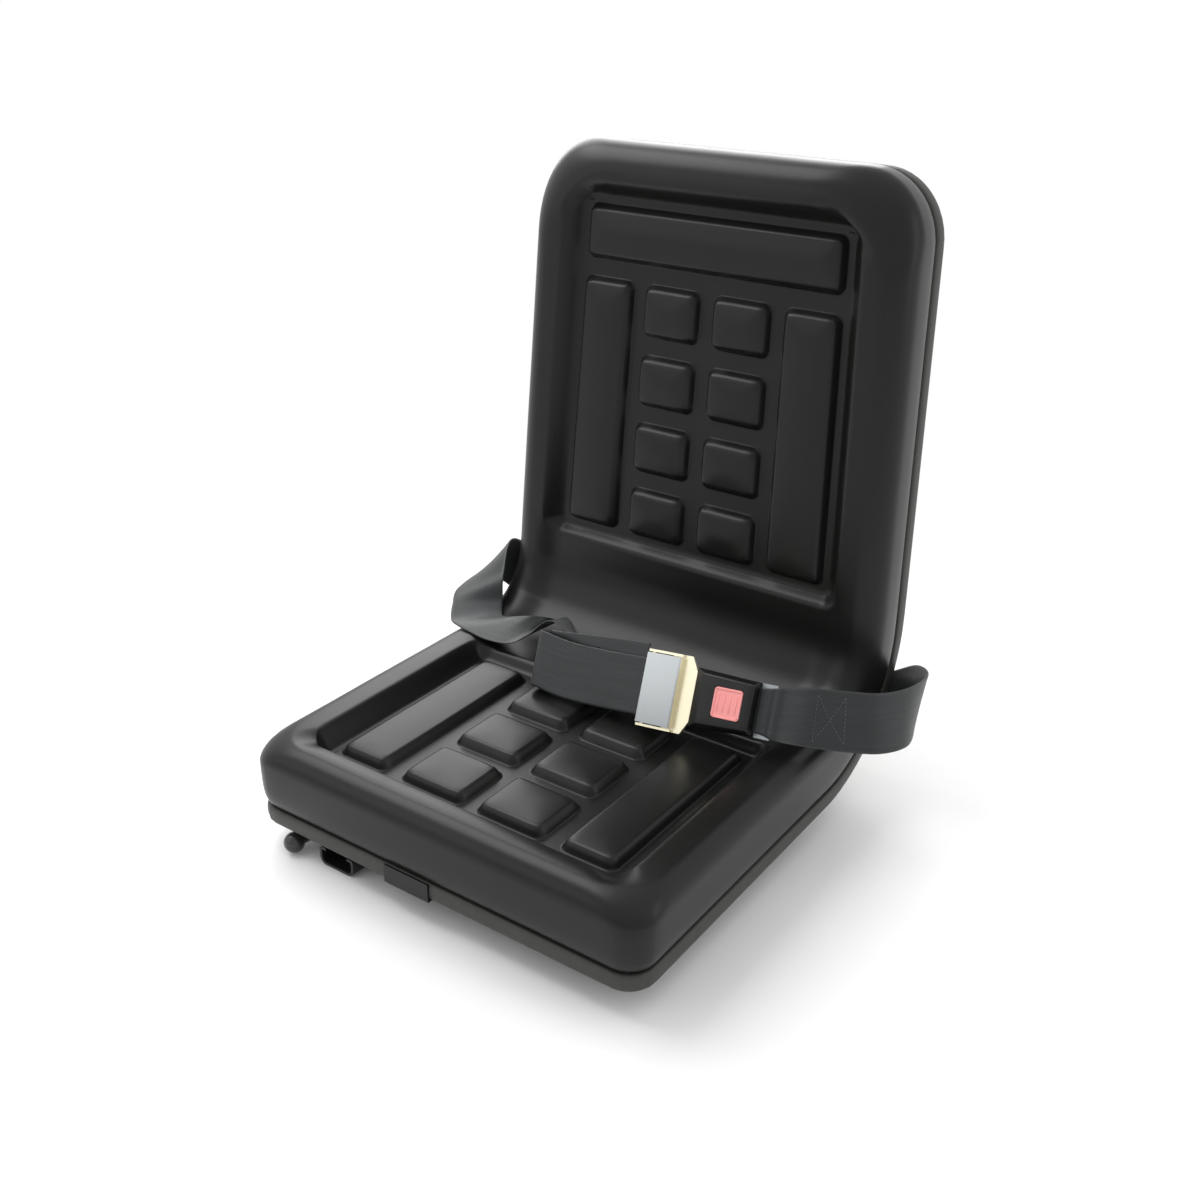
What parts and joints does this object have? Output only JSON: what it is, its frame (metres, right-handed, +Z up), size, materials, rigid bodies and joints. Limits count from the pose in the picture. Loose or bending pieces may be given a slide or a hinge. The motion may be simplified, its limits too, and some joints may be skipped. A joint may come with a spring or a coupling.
{
  "type": "tractor seat",
  "caption": "Moulded tractor seat with a raised cushion pattern, edge trim, slide rails, a release lever and a lap belt with a push-button buckle.",
  "frame": {"origin": "centre of the four mounting holes, on the underside of the lower rails", "axes": "+X to the viewer's right when facing the seat, +Y to the rear, +Z up; the sitter faces -Y"},
  "size_m": [0.4829, 0.4568, 0.5433],
  "materials": {
    "vinyl": "satin black moulded skin with a fine grain",
    "pan_paint": "satin black paint",
    "trim_pvc": "matt black",
    "rail_paint": "satin black paint",
    "steel": "bright",
    "zinc_pale": "pale zinc plate",
    "zinc_yellow": "yellow zinc plate",
    "webbing": "woven black belt webbing",
    "buckle_plastic": "fine texture",
    "cover_plastic": "satin dark grey",
    "button_plastic": "red",
    "knob_plastic": "black",
    "glide_plastic": "natural"
  },
  "bodies": {
    "rails": {"lower_rail_left": "rail_paint", "lower_rail_right": "rail_paint", "rail_rollers": "steel"},
    "seat": {"cushion": "vinyl", "seat_pan": "pan_paint", "edge_trim": "trim_pvc", "trim_clip": "trim_pvc", "upper_rail_left": "rail_paint", "upper_rail_right": "rail_paint", "rail_glides": "glide_plastic", "rail_bolts": "steel", "rail_nuts": "steel", "lever_pin": "steel", "lever_spring": "steel", "anchor_plate_left": "rail_paint", "anchor_plate_right": "rail_paint", "anchor_bolts": "steel", "anchor_nuts": "steel", "buckle_cover": "buckle_plastic", "buckle_back": "buckle_plastic", "buckle_base": "zinc_pale", "latch_plate": "zinc_pale", "button_spring": "steel", "buckle_webbing": "webbing", "tongue_webbing": "webbing"},
    "release_lever": {"release_lever": "rail_paint", "lever_knob": "knob_plastic"},
    "buckle_button": {"buckle_button": "button_plastic"},
    "belt_tongue": {"tongue_plate": "zinc_yellow", "tongue_cover": "cover_plastic", "adjuster_bar": "steel"}
  },
  "joints": [
    {"name": "seat_slide", "type": "slide", "parent": "rails", "child": "seat", "axis": [0, 1, 0], "range_m": [-0.06, 0.06]},
    {"name": "lever_pivot", "type": "hinge", "parent": "seat", "child": "release_lever", "pos_m": [-0.1455, -0.04, 0.0096], "axis": [0, 0, 1], "range_deg": [-3, 4.2], "stiffness_Nm_per_rad": 0.6, "deforming": ["lever_spring"]},
    {"name": "button_press", "type": "slide", "parent": "seat", "child": "buckle_button", "axis": [0, 0.8746, -0.4848], "range_m": [0, 0.003], "stiffness_N_per_m": 400, "springref_m": -0.003, "deforming": ["button_spring"]},
    {"name": "tongue_pull", "type": "slide", "parent": "seat", "child": "belt_tongue", "axis": [-0.9936, -0.0549, -0.099], "range_m": [0, 0.028], "deforming": ["tongue_webbing"]}
  ]
}
